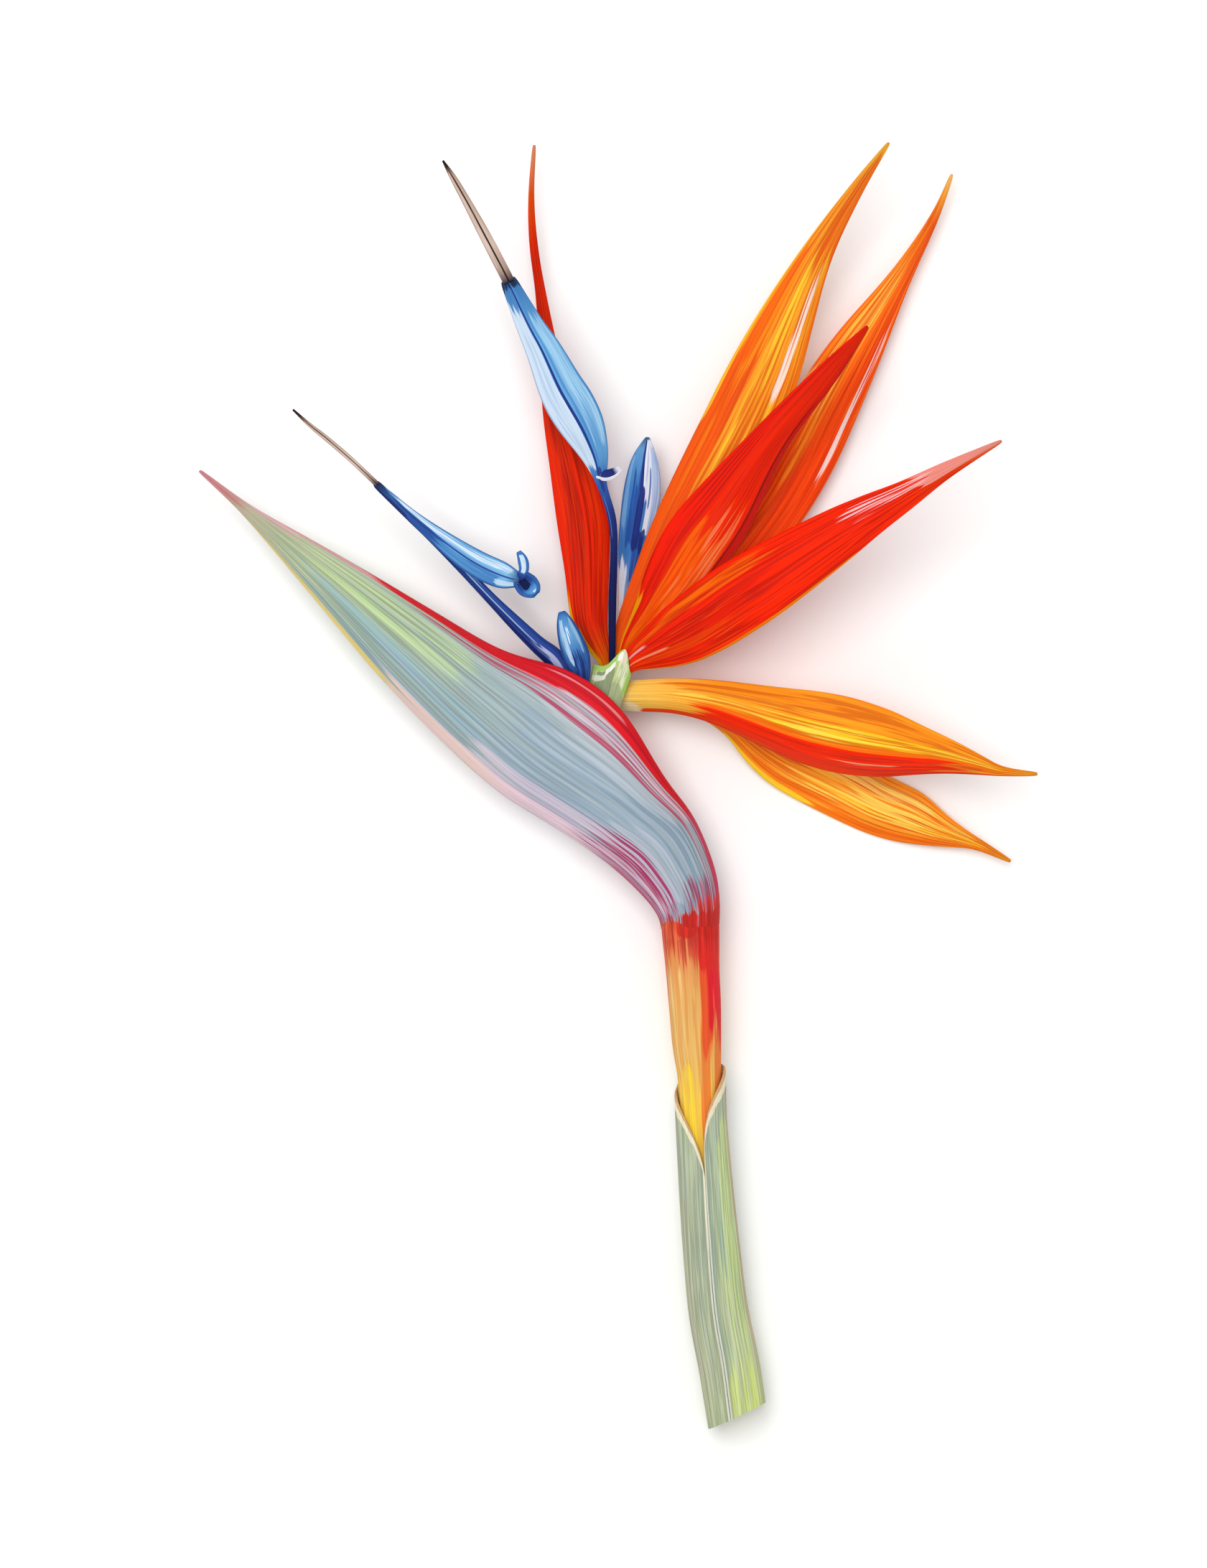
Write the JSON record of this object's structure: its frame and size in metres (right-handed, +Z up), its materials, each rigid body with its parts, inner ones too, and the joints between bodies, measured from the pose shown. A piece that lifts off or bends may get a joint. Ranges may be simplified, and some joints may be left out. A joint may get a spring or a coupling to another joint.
{
  "type": "bird of paradise flower",
  "caption": "Cut bird of paradise flower lying on its side: a beaked spathe on a sheathed stalk, with a fan of red and orange sepals and blue arrow-shaped petals.",
  "frame": {"origin": "middle of the flower's footprint, on the surface that it lies on", "axes": "+Y up the stem to the fan of sepals, +X to the side away from the spathe's beak, +Z up from the surface"},
  "size_m": [0.187, 0.2868, 0.0325],
  "materials": {
    "sepal_red": "satin, finely streaked petal surface",
    "sepal_orange": "satin, finely streaked petal surface",
    "petal_blue": "satin, waxy petal surface",
    "stigma_brown": "matte, with a dark groove",
    "spathe_skin": "waxy bloom over green, with a red margin",
    "stalk_skin": "smooth, yellow to red",
    "sheath_skin": "matte leaf base with pale margins",
    "bract_green": "satin, pale green"
  },
  "bodies": {
    "root": {"stalk": "stalk_skin", "sheath": "sheath_skin", "spathe": "spathe_skin", "bractlet": "bract_green", "ovary_1": "bract_green", "ovary_2": "bract_green", "sepal_1": "sepal_red", "sepal_2": "sepal_orange", "sepal_3": "sepal_orange", "sepal_4": "sepal_red", "sepal_5": "sepal_red", "sepal_6": "sepal_orange", "sepal_7": "sepal_orange", "arrow_petals_upper": "petal_blue", "arrow_petals_lower": "petal_blue", "arrow_petals_back": "petal_blue", "free_petal": "petal_blue", "stigma_upper": "stigma_brown", "stigma_lower": "stigma_brown"}
  },
  "joints": []
}
